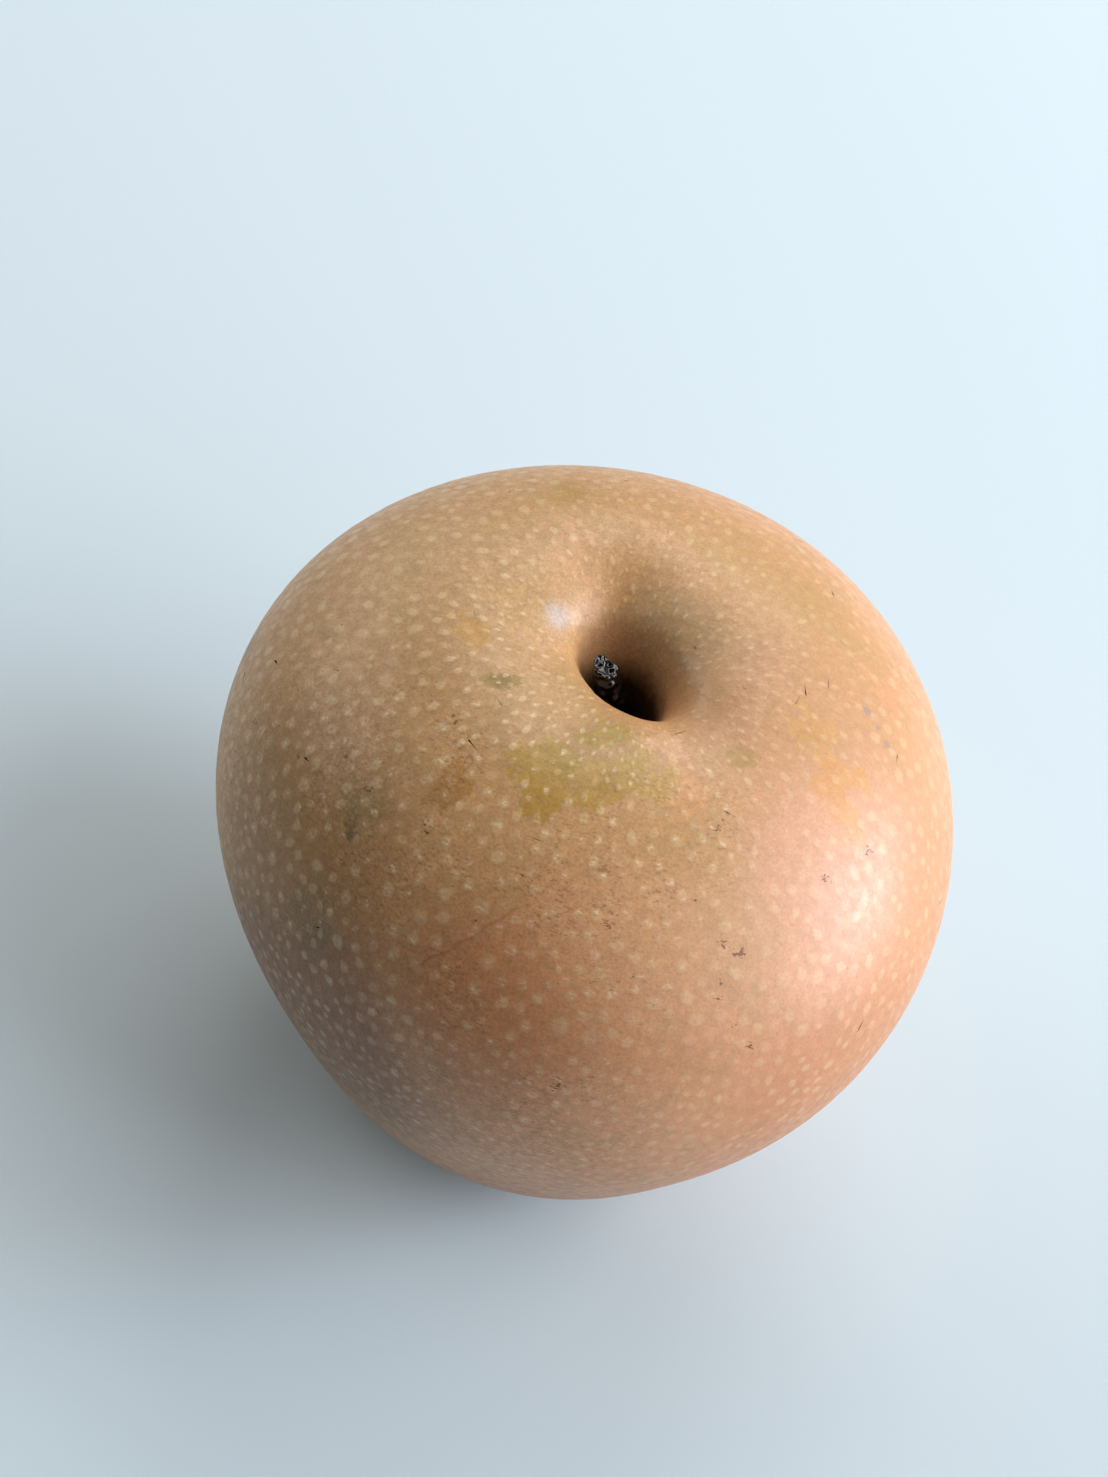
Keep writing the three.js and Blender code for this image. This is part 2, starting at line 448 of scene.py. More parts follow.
def makeSkin():
    k = skin
    ball = scatterSites()
    print("skin: sites scattered")
    mesh = bpy.data.meshes.new("fruitSkin")
    mesh.from_pydata(ball.tolist(), [], [])
    piece = bpy.data.objects.new("fruitSkin", mesh)
    bpy.context.scene.collection.objects.link(piece)
    editAll(piece)
    bpy.ops.mesh.convex_hull(join_triangles=False)
    bpy.ops.mesh.select_all(action="SELECT")
    bpy.ops.mesh.bevel(offset=k["bevel"], affect="VERTICES", segments=1)
    leaveEdit()

    # the small faces left at the sites are the lenticels, and each gets an inner face
    centres = unit(faceCentres(mesh))
    owner = nearestSite(centres, ball)
    atSite = np.linalg.norm(centres - ball[owner], axis=1) < k["bevel"] * k["dotWithin"]
    selectFaces(piece, atSite)
    bpy.ops.mesh.inset(thickness=k["inset"], use_individual=True)
    leaveEdit()
    inner = np.zeros(len(mesh.vertices), bool)
    for polygon in mesh.polygons:
        if polygon.select:
            inner[list(polygon.vertices)] = True

    # size of every dot: those by the hollow are drawn out towards it, and many in the throat are left bare
    rng = np.random.default_rng(k["seed"] + 1)
    chance, tone, keep = rng.random((3, len(ball)))
    down = np.degrees(downAndTurn(ball)[0])
    reach = throatReachOf(ball)
    shown = (reach > k["thinWithin"]) | (keep < k["thinning"])
    places = ballToSkin(ball)
    stretch = along(down, k["stretch"])
    radius = along(down, k["dot"]) * (k["dotSpread"][0] + k["dotSpread"][1] * chance)
    toAny, toShown = k["room"]
    room = np.minimum(toAny * gapToNext(places, places), toShown * gapToNext(places, places[shown]))
    radius = np.where(shown, np.minimum(radius, room / stretch), k["bareDot"])
    radius = np.minimum(radius, room / stretch)

    # every dot's points move out to that size, on the ball and then on the skin
    points = unit(readPoints(mesh))
    owner = nearestSite(points, ball)
    south, east = southAndEast(ball)
    southward, eastward = skinSlopes(ball)
    offset = points - ball[owner]
    around = np.arctan2((offset * east[owner]).sum(1), (offset * south[owner]).sum(1))
    oval, lobed = k["wobble"]
    wobble = 1 + oval * np.sin(2 * around + chance[owner] * 40)
    wobble = wobble + lobed * np.sin(3 * around + tone[owner] * 50)
    size = radius[owner] * wobble * np.where(inner, k["coreShare"], 1.0)
    moveSouth = np.cos(around) * size * stretch[owner] / np.linalg.norm(southward, axis=1)[owner]
    moveEast = np.sin(around) * size / np.sqrt(stretch[owner]) / np.linalg.norm(eastward, axis=1)[owner]
    points = unit(ball[owner] + moveSouth[:, None] * south[owner] + moveEast[:, None] * east[owner])
    flat = ballToSkin(points)
    southward, eastward = skinSlopes(points)
    normals = unit(np.cross(southward, eastward))

    # the inner points stand a little proud, except on the ring that the fruit rests on
    sunny = 0.5 + 0.5 * np.clip(places[:, 0] / k["sunnyFrom"], -1, 1)
    fade = (1 - k["sunnyFade"] * sunny) * shown
    least, more = k["reliefSpread"]
    relief = k["relief"] * (least + more * tone[owner]) * fade[owner] * (flat[:, 2] > k["restBand"])
    writePoints(mesh, (flat + normals * (relief * inner)[:, None]) * mm)
    smoothAll(piece)
    outward = unit(flat - places[owner] + 1e-9)
    lean = relief / (radius[owner] * (1 - k["coreShare"]) + 0.05)
    mesh.normals_split_custom_set_from_vertices(unit(normals + outward * lean[:, None]).tolist())

    # colour masks for the material, kept on the points
    least, more = k["strengthSpread"]
    strength = along(down, k["strength"]) * along(reach, k["throatStrength"]) * (least + more * tone) * fade
    for name, values in (("lenticel", inner.astype(float)), ("lenticelStrength", strength[owner])):
        mesh.attributes.new(name, "FLOAT", "POINT").data.foreach_set("value", values)
    for name, patches in (("zone", russetLooks["zones"]), ("patch", russetLooks["patches"])):
        reach, tint = tintFields(flat, patches)
        mesh.attributes.new(name + "Reach", "FLOAT", "POINT").data.foreach_set("value", reach)
        mesh.attributes.new(name + "Tint", "FLOAT_COLOR", "POINT").data.foreach_set("color", tint.ravel())
    for name in ("marks", "scars"):
        away = awayFromNearest(flat, russetLooks[name])
        mesh.attributes.new(name, "FLOAT_VECTOR", "POINT").data.foreach_set("vector", away.ravel())
    print("skin: made,", len(mesh.polygons), "faces, mean gap to wanted gap",
          round(float((gapToNext(places, places) / wantedGap(ball)).mean()), 2))
    return piece


# Russet skin: cork cells grown over the peel, so it is matt and warm brown with only a soft waxy shine
russetLooks = {
    "flank": "#c7916a",
    "foot": "#b97a50",
    "crown": "#a88756",
    "shadeSide": "#b08c5e",   # the left flank grew away from the sun and is duller
    "warm": "#c98f66",
    "dull": "#b08a60",
    "lenticel": "#e9d6ae",
    "paleStroke": "#efdcbc",
    "brownStroke": "#7a5132",
    "fleck": "#6b4020",
    "scratch": "#7d4f35",
    "scar": "#83777c",
    # painted shade, near black, for deep in the throat
    "paintedThroatShade": "#1c110a",
    "roughness": (0.36, 0.5),
    "ior": 1.5,
    # where a broad colour begins and is full, in metres or in values of its noise, and its share there
    "blends": {
        "foot": (0.060, 0.024, 1.0),
        "warm": (0.50, 0.66, 0.4),
        "dull": (0.50, 0.66, 0.6),
        "shadeSide": (0.018, -0.015, 0.9),
        "crown": (0.074, 0.090, 0.85),
    },
    "mottleContrast": 0.08,
    "grainContrast": 0.13,
    "paleInDrift": (0.02, 0.14),      # share of pale strokes where there are few and where there are many
    "paleInDot": 0.4,
    "brownInDrift": (0.2, 0.55),
    # pattern sizes in millimetres
    "broadSize": 24,
    "driftSize": 9,
    "patchySize": 5,
    "mottleSize": 1.5,
    "grainSize": 0.34,
    "strokeSize": 0.26,
    # degrees down and round, radius and soft edge in millimetres, strength, colour
    "zones": [
        (20, 238, 6, 9, 0.85, "#9c7a4b"),          # browner cork and painted shade on the hollow's near side, which slopes away from the light
        # more of that painted shade, further round to the left
        (28, 198, 4, 9, 0.7, "#a47f50"),
        (10, 60, 4, 5, 0.6, "#9c8664"),            # greyer in the hollow
        (16, 160, 0.5, 2.4, 0.7, "#b8b1b2"),       # painted highlight: a cool pale glare on the hollow's left lip
        (62, 266, 6, 12, 0.6, "#b97a50"),
        (50, 285, 5, 10, 0.5, "#cd9970"),
        (46, 335, 8, 12, 0.6, "#cc9479"),          # pinker where the sun reached
        # painted shade: darker low on the right, towards the bottom
        (78, 325, 12, 14, 0.7, "#b57a53"),
        (62, 345, 8, 12, 0.6, "#bd8458"),
        # painted shade: darker on the lower left flank, away from the light
        (60, 222, 8, 12, 0.45, "#8d6a42"),
        (30, 358, 7, 10, 0.8, "#af8155"),          # browner again right of the hollow
        (20, 272, 3, 5, 0.6, "#9c7c4c"),
        # painted shadow: darker low on the left, under the fruit and away from the light
        (86, 238, 12, 16, 0.8, "#7a5034"),
    ],
    "patches": [
        (27, 189, 2.6, 1.0, 0.9, "#a67c33"),       # ochre spot left of the hollow
        (26, 212, 0.9, 0.5, 0.9, "#83681f"),       # olive streak beside it
        (24, 214, 1.0, 0.5, 0.95, "#71591a"),
        (22, 214, 0.9, 0.5, 0.9, "#83681f"),
        (40, 237, 2.4, 1.2, 0.65, "#95692f"),
        (30, 249, 2.5, 1.0, 0.8, "#977727"),       # olive before the hollow
        (33, 257, 2.6, 1.0, 0.75, "#9a7829"),
        (26, 255, 2.9, 1.0, 0.85, "#927525"),
        (19, 260, 2.3, 0.8, 0.85, "#8f7626"),
        (17, 268, 2.4, 1.0, 0.7, "#937a2c"),
        (22, 284, 2.9, 1.2, 0.75, "#a08436"),
        (24, 292, 2.3, 1.2, 0.7, "#a5863a"),
        (27, 270, 3.4, 1.2, 0.7, "#9c7c2e"),
        (27, 303, 2.4, 1.8, 0.5, "#c08a58"),       # pinker cork right of it
        (17, 300, 1.6, 1.6, 0.5, "#c79d7c"),
        (32, 353, 3.2, 2.0, 0.6, "#b38541"),       # ochre on the right shoulder
        (38, 349, 4.0, 2.2, 0.7, "#ba8443"),
        (43, 341, 2.8, 2.4, 0.55, "#c08b4c"),
        (24, 328, 1.7, 1.0, 0.7, "#9b7b3c"),
        (51, 227, 2.8, 2.0, 0.55, "#7f6c42"),      # greenish dark flank
        (55, 231, 1.0, 0.6, 0.75, "#4d4f31"),
        (68, 236, 3.4, 3.0, 0.45, "#6b5c3b"),
        (22, 165, 3.2, 3.0, 0.4, "#b08d50"),
        (24, 130, 3.0, 3.0, 0.35, "#b8845c"),
        (30, 70, 4.0, 4.0, 0.4, "#a98a52"),
        (48, 20, 3.0, 4.0, 0.35, "#cb8d66"),
        (36, 205, 4.0, 4.0, 0.35, "#a37e58"),
        (62, 80, 4.0, 3.0, 0.45, "#967a44"),       # the side that the photo hides
        (40, 120, 3.0, 1.6, 0.6, "#9f7d3a"),
        (88, 140, 6.0, 5.0, 0.4, "#a37445"),
        (70, 180, 2.5, 1.6, 0.5, "#806b40"),
        (105, 40, 5.0, 4.0, 0.35, "#997a4c"),
        (120, 290, 5.0, 5.0, 0.3, "#a57045"),
        (150, 110, 4.0, 4.0, 0.35, "#9a7a4c"),
    ],
    # dark dashes: degrees down and round, and the radius in millimetres of the place where they lie
    "marks": [
        (36, 281, 0.45), (52, 258, 0.4), (56, 284, 0.4), (46, 280, 1.4), (48, 302, 1.3), (55, 300, 1.2),
        (50, 305, 1.0), (52, 286, 0.6), (68, 278, 1.3), (46, 239, 0.7), (47, 241, 0.7), (70, 259, 0.4),
        (19, 3, 0.5), (31, 311, 0.7), (33, 307, 0.8), (42, 297, 0.7), (48, 340, 1.0), (46, 327, 1.2),
        (48, 187, 0.4), (39, 195, 0.4), (50, 218, 0.8), (50, 225, 0.6), (49, 227, 0.6), (34, 221, 0.8),
        (34, 228, 0.9), (63, 200, 0.8), (12, 42, 0.5), (21, 228, 0.6), (57, 212, 1.0), (44, 262, 0.5),
        (62, 305, 1.0), (50, 166, 0.6), (66, 70, 0.6), (45, 105, 0.8), (80, 130, 0.6), (98, 200, 0.7),
        (73, 152, 0.6), (110, 20, 0.8), (52, 60, 0.7), (125, 160, 0.7), (85, 330, 1.0), (78, 20, 0.6),
    ],
    "scars": [(41, 12, 0.9), (45, 6, 0.6)],
    "scratchFrom": (64, 251),      # a long faint scratch across the front
    "scratchTo": (45, 267),
    "scratchHalfWidth": 0.28,
    "scratchWander": 2.0,          # millimetres
    "scratchAmount": 0.28,
    # painted shade in the middle of the throat: right and back from it, height, reach in millimetres and
    # amount
    "paintedShadePlace": (0.6, -0.8, 61.0),
    "paintedShadeReach": (12.5, 7.8),
    "paintedShadeAmount": 0.94,
}


# past this many millimetres the way from a mark is drawn out, so that where the ways from two marks
# blend across a face of the skin, they cancel only along a hairline
markReach = 4
drawnOut = 30


def spot(down, turn):
    return skinPoint(math.radians(down), math.radians(turn))


def tintFields(places, patches):
    # how far each point lies outside the nearest patch, in soft edges, and the colour and strength there
    reach = np.full(len(places), 9.0)
    sums = np.zeros((len(places), 5))
    for down, turn, size, edge, strength, colour in patches:
        away = (np.linalg.norm(places - spot(down, turn), axis=1) - size) / edge
        reach = np.minimum(reach, away)
        weight = np.exp(-3 * np.clip(away, -1, 9))[:, None]
        sums += weight * np.array(linear(colour)[:3] + (strength, 1.0))
    return reach, sums[:, :4] / sums[:, 4:]


def awayFromNearest(places, marks):
    # way from the nearest mark to each point, in radii of the mark
    away = np.empty((len(places), 3))
    least = np.full(len(places), np.inf)
    for down, turn, radius in marks:
        way = (places - spot(down, turn)) / radius
        length = np.linalg.norm(way, axis=1)
        way[length * radius > markReach] *= drawnOut
        nearer = length < least
        away[nearer] = way[nearer]
        least[nearer] = length[nearer]
    return away


def makeRussetMaterial():
    r = russetLooks
    f = fruitForm
    material, tree = newMaterial("russetPearSkin")
    smooth, tinted = {"interpolation_type": "SMOOTHSTEP"}, {"data_type": "RGBA"}
    scaled = {"data_type": "RGBA", "blend_type": "MULTIPLY"}
    times, timesPlus = {"operation": "MULTIPLY"}, {"operation": "MULTIPLY_ADD"}

    place = addNode(tree, "TexCoord").outputs["Object"]
    axes = addNode(tree, "SeparateXYZ", {}, place).outputs
    broad = addNode(tree, "TexNoise", {}, place, perMetre / r["broadSize"], 2, 0.5)
    drift = addNode(tree, "TexNoise", {}, place, perMetre / r["driftSize"], 1, 0.5)
    patchy = addNode(tree, "TexNoise", {}, place, perMetre / r["patchySize"], 4, 0.6)
    mottle = addNode(tree, "TexNoise", {}, place, perMetre / r["mottleSize"], 3, 0.6)
    grain = addNode(tree, "TexNoise", {}, place, perMetre / r["grainSize"], 2, 0.6)
    lying = addNode(tree, "Mapping", {}, place, Scale=(0.32, 0.5, 1))
    stroke = addNode(tree, "TexNoise", {}, lying, perMetre / r["strokeSize"], 2, 0.7)

    # broad colour: warm low down, duller on the shaded left and round the hollow
    sun = addNode(tree, "Math", timesPlus, broad, 0.03, axes["X"])
    height = addNode(tree, "Math", timesPlus, broad, 0.02, axes["Z"])
    # the zones hold painted shade, painted shadow and a painted highlight as well as the skin's own tints
    zone = addNode(tree, "Attribute", {"attribute_name": "zoneTint"})
    zoneReach = addNode(tree, "Attribute", {"attribute_name": "zoneReach"}).outputs["Fac"]
    zoneMask = addNode(tree, "MapRange", smooth, zoneReach, 1, 0, 0, 1)
    zoneMask = addNode(tree, "Math", times, zoneMask, zone.outputs["Alpha"])

    # olive, ochre and pink patches with torn edges
    patch = addNode(tree, "Attribute", {"attribute_name": "patchTint"})
    patchReach = addNode(tree, "Attribute", {"attribute_name": "patchReach"}).outputs["Fac"]
    tear = addNode(tree, "Math", timesPlus, mottle, 5.0, patchReach)
    tear = addNode(tree, "Math", timesPlus, patchy, 6.0, tear)
    patchMask = addNode(tree, "MapRange", smooth, tear, 5.8, 5.1, 0, 1)
    patchMask = addNode(tree, "Math", times, patchMask, patch.outputs["Alpha"])

    colour = linear(r["flank"])
    for name, value in (
            ("foot", height), ("warm", broad), ("dull", patchy), ("shadeSide", sun), ("crown", height)):
        start, end, amount = r["blends"][name]
        mask = addNode(tree, "MapRange", {}, value, start, end, 0, amount)
        colour = addNode(tree, "Mix", tinted, mask, colour, linear(r[name]))
    for mask, tint in ((zoneMask, zone), (patchMask, patch)):
        colour = addNode(tree, "Mix", tinted, mask, colour, tint.outputs["Color"])

    # fine unevenness of the cork, smoother on the sunny side
    fineness = addNode(tree, "MapRange", smooth, axes["X"], 0.03, -0.01, 0.5, 1)
    for value, spread in ((mottle, r["mottleContrast"]), (grain, r["grainContrast"])):
        shade = addNode(tree, "MapRange", smooth, value, 0.3, 0.7, 1 + spread, 1 - spread)
        colour = addNode(tree, "Mix", scaled, fineness, colour, shade)

    # lenticels: broad soft dots of pale cork, frayed at their edges
    dot = addNode(tree, "Attribute", {"attribute_name": "lenticel"}).outputs["Fac"]
    strength = addNode(tree, "Attribute", {"attribute_name": "lenticelStrength"}).outputs["Fac"]
    frayed = addNode(tree, "Math", timesPlus, stroke, 1.8, dot)
    dotMask = addNode(tree, "MapRange", smooth, frayed, 0.85, 1.8, 0, 1)
    inDot = addNode(tree, "MapRange", smooth, dot, 0.0, 0.35, 0, 1)
    dotMask = addNode(tree, "Math", times, dotMask, inDot)

    # fine pale and brown strokes in drifts, fewer on the sunny side and at the back
    scurfy = addNode(tree, "MapRange", smooth, axes["X"], 0.024, 0.01, 0.25, 1)
    scurfy = addNode(tree, "MapRange", smooth, axes["Y"], 0.002, -0.02, 0.25, scurfy)
    paleHere = addNode(tree, "MapRange", smooth, drift, 0.46, 0.62, *r["paleInDrift"])
    paleHere = addNode(tree, "Math", timesPlus, dotMask, r["paleInDot"], paleHere)
    paleHere = addNode(tree, "Math", times, paleHere, scurfy)
    brownHere = addNode(tree, "MapRange", smooth, drift, 0.44, 0.6, *r["brownInDrift"])
    brownHere = addNode(tree, "Math", times, brownHere, scurfy)
    for value, start, end, here, tint in (
            (dotMask, 0, 1, strength, r["lenticel"]),
            (stroke, 0.45, 0.35, paleHere, r["paleStroke"]),
            (stroke, 0.57, 0.66, brownHere, r["brownStroke"])):
        mask = addNode(tree, "MapRange", {}, value, start, end, 0, here)
        colour = addNode(tree, "Mix", tinted, mask, colour, linear(tint))

    # dark dashes in places of their own, and the bluish scar on the right shoulder
    spread, middle = (1.2, 1.2, 1.2), (-0.6, -0.6, -0.6)
    jag = addNode(tree, "VectorMath", timesPlus, mottle.outputs["Color"], spread, middle)
    for name, tint, inMiddle, start, amount in (
            ("marks", r["fleck"], 0.24, 0.72, 0.85),
            ("scars", r["scar"], 0.5, 0.6, 0.5)):
        way = addNode(tree, "Attribute", {"attribute_name": name}).outputs["Vector"]
        way = addNode(tree, "VectorMath", {"operation": "ADD"}, way, jag)
        length = addNode(tree, "VectorMath", {"operation": "LENGTH"}, way).outputs["Value"]
        inside = addNode(tree, "MapRange", smooth, length, 1.1, 0.1, 0, inMiddle)
        dash = addNode(tree, "Math", {"operation": "ADD"}, inside, stroke)
        near = addNode(tree, "MapRange", smooth, length, 1.2, 0.9, 0, amount)
        mask = addNode(tree, "MapRange", smooth, dash, start, start + 0.07, 0, near)
        colour = addNode(tree, "Mix", tinted, mask, colour, linear(tint))

    # a long faint scratch across the front
    start, end = Vector(spot(*r["scratchFrom"])) * mm, Vector(spot(*r["scratchTo"])) * mm
    way = (end - start).normalized()
    across = way.cross(start + end - Vector((0, 0, 2 * f["restLift"] * mm))).normalized()
    fromStart = addNode(tree, "VectorMath", {"operation": "SUBTRACT"}, place, start)
    run = addNode(tree, "VectorMath", {"operation": "DOT_PRODUCT"}, fromStart, way).outputs["Value"]
    aside = addNode(tree, "VectorMath", {"operation": "DOT_PRODUCT"}, fromStart, across).outputs["Value"]
    aside = addNode(tree, "Math", timesPlus, patchy, r["scratchWander"] * mm, aside)
    aside = addNode(tree, "Math", {"operation": "SUBTRACT"}, aside, r["scratchWander"] * mm / 2)
    aside = addNode(tree, "Math", {"operation": "ABSOLUTE"}, aside)
    length = (end - start).length
    inRun = addNode(tree, "MapRange", smooth, run, 0, 0.002, 0, r["scratchAmount"])
    beforeEnd = addNode(tree, "MapRange", smooth, run, length, length * 0.8, 0, inRun)
    mask = addNode(tree, "MapRange", smooth, aside, r["scratchHalfWidth"] * mm, 0.00002, 0, beforeEnd)
    colour = addNode(tree, "Mix", tinted, mask, colour, linear(r["scratch"]))

    # painted shade down in the throat, near black towards its middle, laid over the skin's colours
    throat = Vector((f["throatX"] + f["centreX"], f["throatY"] + f["centreY"], 0))
    bottom = (throat + Vector(r["paintedShadePlace"])) * mm
    depth = addNode(tree, "VectorMath", {"operation": "DISTANCE"}, place, bottom).outputs["Value"]
    depth = addNode(tree, "Math", timesPlus, mottle, 0.003, depth)
    begins, full = r["paintedShadeReach"]
    mask = addNode(tree, "MapRange", smooth, depth, begins * mm, full * mm, 0, r["paintedShadeAmount"])
    colour = addNode(tree, "Mix", tinted, mask, colour, linear(r["paintedThroatShade"]))

    gloss = addNode(tree, "MapRange", smooth, mottle, 0.3, 0.7, *r["roughness"])
    lift = addNode(tree, "Math", timesPlus, grain, 0.5, mottle)
    bump = addNode(tree, "Bump", {}, Strength=0.3, Distance=0.0001, Height=lift)
    surface = addNode(tree, "BsdfPrincipled", {}, Base_Color=colour, Roughness=gloss, IOR=r["ior"],
                      Normal=bump)
    addNode(tree, "OutputMaterial", {}, surface)
    return material


# Stem stub: dried, ridged along its length, and torn off at a slant
stemStub = {
    "foot": (0.004, 2.108, 62.8),
    "sides": 18,
    "footRadius": 1.35,
    # height over the foot and radius, in millimetres
    "rings": [(0.9, 1.7), (2.2, 1.85), (3.8, 1.8), (5.4, 1.72), (6.8, 1.7), (8.0, 1.72), (8.8, 1.62)],
    "lean": (-2.9, 0.3),
    "tipTilt": 22,            # degrees that the torn end slopes down to the right
    "tipRings": [(0.3, 0.1), (0.35, -0.35), (0.4, 0.15)],     # width and rise of each, from the rim inwards
    "ridges": 7,
    "ridgeAmount": 0.07,
    "tearSeed": 5,
    "tear": 0.12,             # how ragged the torn end is
    "barkScale": 1.0,         # size of the bark's lumps in millimetres
    "bark": 0.75,             # height that their noise spans
}


def makeStem():
    s = stemStub
    foot = Vector(s["foot"]) * mm
    deselectAll()
    first = s["rings"][0][0] * mm
    bpy.ops.mesh.primitive_cylinder_add(vertices=s["sides"], radius=s["footRadius"] * mm, depth=first,
                                        location=foot + Vector((0, 0, first / 2)))
    piece = bpy.context.object
    piece.name = piece.data.name = "stemStub"
    applyPlace(piece)
    selectFaces(piece, [p.normal.z > 0.9 for p in piece.data.polygons])
    here = foot + Vector((0, 0, first))
    length = s["rings"][-1][0]
    bpy.ops.transform.resize(value=(s["rings"][0][1] / s["footRadius"],) * 2 + (1,), center_override=here)
    for (low, narrow), (high, wide) in zip(s["rings"], s["rings"][1:]):
        bend = (high / length) ** 1.3 - (low / length) ** 1.3
        lift = Vector((s["lean"][0] * bend, s["lean"][1] * bend, high - low)) * mm
        here = here + lift
        bpy.ops.mesh.extrude_region_move(TRANSFORM_OT_translate={"value": lift})
        bpy.ops.transform.resize(value=(wide / narrow, wide / narrow, 1), center_override=here)
    bpy.ops.transform.rotate(value=math.radians(-s["tipTilt"]), orient_axis="Y", center_override=here)
    for rim, depth in s["tipRings"]:
        bpy.ops.mesh.inset(thickness=rim * mm, depth=depth * mm)
    bpy.ops.mesh.poke()
    leaveEdit()

    # ridges of dried bark, then the torn end is made ragged
    mesh = piece.data
    points = readPoints(mesh) / mm
    rise = np.clip((points[:, 2] - s["foot"][2]) / length, 0, 1)
    middle = np.array(s["foot"][:2]) + np.array(s["lean"]) * rise[:, None] ** 1.3
    out = points[:, :2] - middle
    ridge = 1 + s["ridgeAmount"] * np.sin(s["ridges"] * np.arctan2(out[:, 1], out[:, 0]) + 2 * rise)
    points[:, :2] = middle + out * ridge[:, None]
    writePoints(mesh, points * mm)
    selectFaces(piece, [p.center.z / mm > s["foot"][2] + length - 0.5 for p in mesh.polygons])
    bpy.ops.transform.vertex_random(offset=s["tear"] * mm, uniform=0, normal=0, seed=s["tearSeed"])
    leaveEdit()
    addModifier(piece, "SUBSURF", levels=3, render_levels=3)
    bark = bpy.data.textures.new("driedBark", "CLOUDS")
    bark.noise_scale = s["barkScale"] * mm
    bark.noise_depth = 0
    addModifier(piece, "DISPLACE", texture=bark, strength=s["bark"] * mm, mid_level=0.5,
                texture_coords="LOCAL")
    smoothAll(piece)
    print("stem: made,", len(mesh.polygons), "faces")
    return piece


# Dried stem wood: nearly black bark with a varnish-like shine, which glints where the end is torn
stemLooks = {
    "bark": "#050403",
    "barkWorn": "#0f0b09",
    "fibre": "#3a3430",
    "roughness": (0.18, 0.1),
    "fibreSize": 0.5,         # across the grain, in millimetres, and four times as long up the stem
    "wornSize": 1.1,
    "tornFrom": 71.2,         # height in millimetres where paler fibres begin to show
}


def makeStemMaterial():
    s = stemLooks
    material, tree = newMaterial("driedStemWood")
    place = addNode(tree, "TexCoord").outputs["Object"]
    upright = addNode(tree, "Mapping", {}, place, Scale=(1, 1, 0.25))
    fibre = addNode(tree, "TexNoise", {}, upright, perMetre / s["fibreSize"], 2)
    worn = addNode(tree, "TexNoise", {}, place, perMetre / s["wornSize"], 2)
    height = addNode(tree, "SeparateXYZ", {}, place).outputs["Z"]
    torn = addNode(tree, "MapRange", {}, height, s["tornFrom"] * mm, (s["tornFrom"] + 0.8) * mm, 0, 0.6)
    strand = addNode(tree, "MapRange", {}, fibre, 0.66, 0.72, 0, torn)
    wornMask = addNode(tree, "MapRange", {}, worn, 0.45, 0.7)
    bark = addNode(tree, "Mix", {"data_type": "RGBA"}, wornMask, linear(s["bark"]), linear(s["barkWorn"]))
    colour = addNode(tree, "Mix", {"data_type": "RGBA"}, strand, bark, linear(s["fibre"]))
    gloss = addNode(tree, "MapRange", {}, worn, 0.6, 0.45, *s["roughness"])
    surface = addNode(tree, "BsdfPrincipled", {}, Base_Color=colour, Roughness=gloss)
    addNode(tree, "OutputMaterial", {}, surface)
    return material


# Calyx: what is left of the flower, a corky dish with five curled sepals and a few dried threads
calyxForm = {
    "middle": (0.604, -1.735),
    "roof": 5.07,             # height of the basin's roof in millimetres
    "dishTop": 4.7,
    "dishSides": 30,
    "dishRadius": 2.1,
    "dishBlock": 0.6,         # height of the block that it starts from
    # step in height and in width: down to the rim, over it and up into the cup, then the stub of the style
    "dishSteps": [(-0.45, 1.12), (-0.35, 0.94), (-0.05, 0.8), (0.45, 0.78), (0.25, 0.7), (-0.25, 0.5),
                  (-0.4, 0.7)],
    "sepals": 5,
    "sepalFrom": 1.7,         # millimetres from the middle
    "sepalTo": 4.3,
    "sepalWidth": 2.3,
    "sepalThickness": 0.32,
    "sepalClear": 0.75,       # millimetres under the roof
    "edgeFold": 0.35,
    "tipCurl": 0.9,
    "threads": 12,
    # least and how much chance adds: millimetres from the middle, tilt in radians, length
    "threadSpread": [(0.75, 0.35), (0.35, 0.4), (0.9, 0.7)],
    "seed": 3,
}


def makeDish():
    c = calyxForm
    deselectAll()
    block = c["dishBlock"]
    place = Vector((c["middle"][0], c["middle"][1], c["dishTop"] - block / 2)) * mm
    bpy.ops.mesh.primitive_cylinder_add(vertices=c["dishSides"], radius=c["dishRadius"] * mm,
                                        depth=block * mm, location=place)
    piece = bpy.context.object
    piece.name = piece.data.name = "calyxRemnant"
    applyPlace(piece)
    selectFaces(piece, [p.normal.z < -0.9 for p in piece.data.polygons])
    here = Vector((c["middle"][0], c["middle"][1], c["dishTop"] - block)) * mm
    for drop, scale in c["dishSteps"]:
        lift = Vector((0, 0, drop)) * mm
        here = here + lift
        bpy.ops.mesh.extrude_region_move(TRANSFORM_OT_translate={"value": lift})
        bpy.ops.transform.resize(value=(scale, scale, 1), center_override=here)
    bpy.ops.mesh.poke()
    bpy.ops.mesh.select_all(action="SELECT")
    bpy.ops.transform.vertex_random(offset=0.12 * mm, uniform=0, normal=0, seed=c["seed"])
    leaveEdit()
    addModifier(piece, "SUBSURF", levels=2, render_levels=2)
    return piece


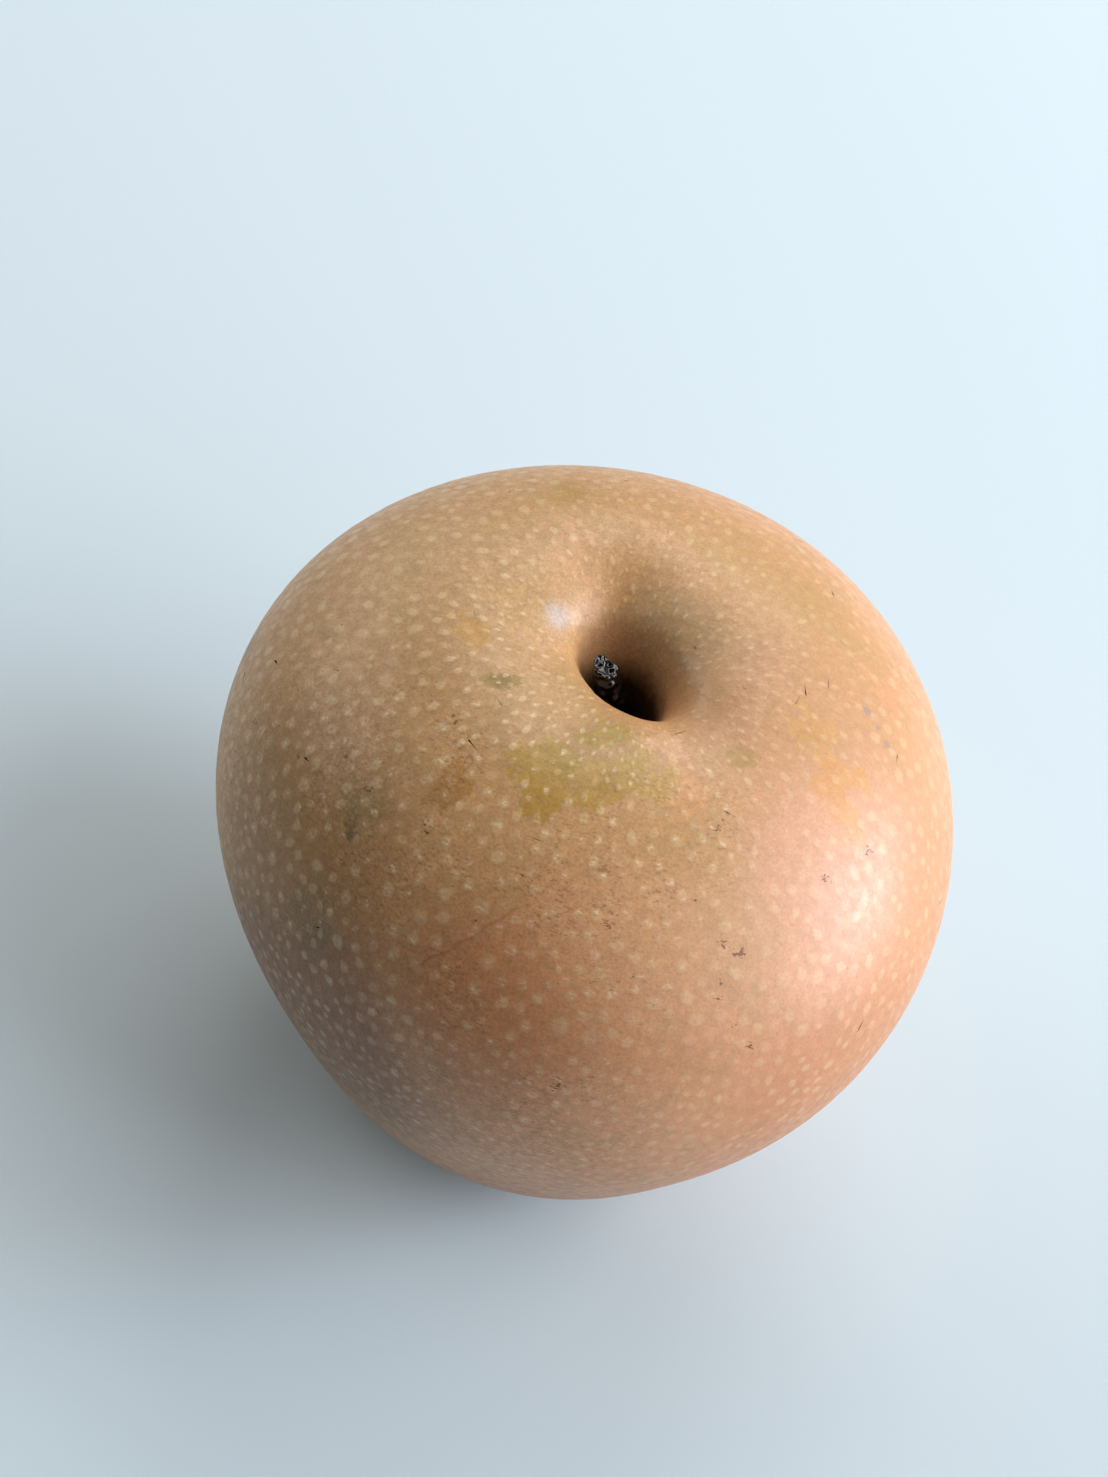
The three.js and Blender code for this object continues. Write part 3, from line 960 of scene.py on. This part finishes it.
def makeSepals():
    c = calyxForm
    deselectAll()
    bpy.ops.mesh.primitive_grid_add(x_subdivisions=6, y_subdivisions=10, size=1)
    first = bpy.context.object
    first.name = first.data.name = "sepal"
    points = readPoints(first.data)
    length, side = points[:, 1] + 0.5, points[:, 0] * 2
    out = c["sepalFrom"] + (c["sepalTo"] - c["sepalFrom"]) * length
    half = c["sepalWidth"] / 2 * (1 - length) ** 0.6 * (0.75 + 0.5 * length) + 0.12
    # it lies along the basin's roof, with its edges folded in and its tip curled away
    roofHere = c["roof"] - fruitForm["basinDepth"] * (1 - bell(out, fruitForm["basinRadius"]))
    folded = c["edgeFold"] * (side ** 2) * (1 - length)
    height = roofHere - c["sepalClear"] - folded - c["tipCurl"] * length ** 4
    places = np.stack([c["middle"][0] + out, c["middle"][1] + side * half, height], -1)
    writePoints(first.data, places * mm)
    makeActive(first)
    addModifier(first, "SOLIDIFY", thickness=c["sepalThickness"] * mm, offset=0)
    addModifier(first, "SUBSURF", levels=2, render_levels=2)
    editAll(first)
    bpy.ops.mesh.normals_make_consistent(inside=False)
    leaveEdit()
    sepals = [first]
    centre = Vector((c["middle"][0], c["middle"][1], 0)) * mm
    for i in range(1, c["sepals"]):
        makeActive(first)
        bpy.ops.object.duplicate()
        copy = bpy.context.object
        editAll(copy)
        turn = -(i / c["sepals"]) * 2 * math.pi + 0.09 * math.sin(5 * i)
        bpy.ops.transform.rotate(value=turn, orient_axis="Z", center_override=centre)
        scale = 1 + 0.1 * math.sin(7 * i)
        bpy.ops.transform.resize(value=(scale, scale, 1), center_override=centre)
        leaveEdit()
        sepals.append(copy)
    return sepals


def makeThreads():
    c = calyxForm
    rng = np.random.default_rng(c["seed"])
    threads = []
    for i in range(c["threads"]):
        turn = 2 * math.pi * (i + 0.6 * rng.random()) / c["threads"]
        reach, tilt, length = [least + more * rng.random() for least, more in c["threadSpread"]]
        place = Vector((reach * math.cos(turn), reach * math.sin(turn), c["dishTop"] - 1.2))
        place = (place + Vector((c["middle"][0], c["middle"][1], 0))) * mm
        lean = tilt if i % 2 else -tilt
        deselectAll()
        bpy.ops.mesh.primitive_cone_add(vertices=7, radius1=0.05 * mm, radius2=0.12 * mm, depth=length * mm,
                                        location=place, rotation=(0, lean, turn))
        thread = bpy.context.object
        applyPlace(thread)
        editAll(thread)
        bpy.ops.mesh.subdivide(number_cuts=2)
        bpy.ops.transform.vertex_random(offset=0.05 * mm, uniform=0, normal=0, seed=i)
        leaveEdit()
        addModifier(thread, "SUBSURF", levels=1, render_levels=1)
        threads.append(thread)
    return threads


def makeCalyx():
    dish = makeDish()
    others = makeSepals() + makeThreads()
    makeActive(dish)
    for piece in others:
        piece.select_set(True)
    bpy.ops.object.join()
    cork = bpy.data.textures.new("calyxCork", "CLOUDS")
    cork.noise_scale = 0.7 * mm
    cork.noise_depth = 3
    addModifier(dish, "DISPLACE", texture=cork, strength=0.14 * mm, mid_level=0.5, texture_coords="LOCAL")
    smoothAll(dish)
    print("calyx: made,", len(dish.data.polygons), "faces")
    return dish


# Withered calyx: dead cork and leaf, dull dark brown with worn, paler edges
calyxLooks = {
    "deep": "#2a1c12",
    "cork": "#5a422d",
    "worn": "#8a6c4b",
    "roughness": 0.85,
    "blotchSize": 1.5,        # millimetres
    "grainSize": 0.25,
}


def makeCalyxMaterial():
    c = calyxLooks
    material, tree = newMaterial("witheredCalyxCork")
    place = addNode(tree, "TexCoord").outputs["Object"]
    blotch = addNode(tree, "TexNoise", {}, place, perMetre / c["blotchSize"], 4)
    grain = addNode(tree, "TexNoise", {}, place, perMetre / c["grainSize"], 3)
    corky = addNode(tree, "MapRange", {}, blotch, 0.35, 0.6)
    worn = addNode(tree, "MapRange", {}, grain, 0.52, 0.72, 0, 0.7)
    colour = addNode(tree, "Mix", {"data_type": "RGBA"}, corky, linear(c["deep"]), linear(c["cork"]))
    colour = addNode(tree, "Mix", {"data_type": "RGBA"}, worn, colour, linear(c["worn"]))
    bump = addNode(tree, "Bump", {}, Strength=0.5, Distance=0.00015, Height=grain)
    surface = addNode(tree, "BsdfPrincipled", {}, Base_Color=colour, Roughness=c["roughness"], Normal=bump)
    addNode(tree, "OutputMaterial", {}, surface)
    return material


makeCamera()
makeStudio()
print("camera and studio ready")

pieces = (
    (makeSkin, makeRussetMaterial, "fruit", "skin"),
    (makeStem, makeStemMaterial, "stem", "stem"),
    (makeCalyx, makeCalyxMaterial, "calyx", "calyx"),
)
for makePiece, makeMaterial, node, slot in pieces:
    piece = makePiece()
    giveMaterial(piece, makeMaterial())
    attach(piece, "root")
    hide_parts(node)
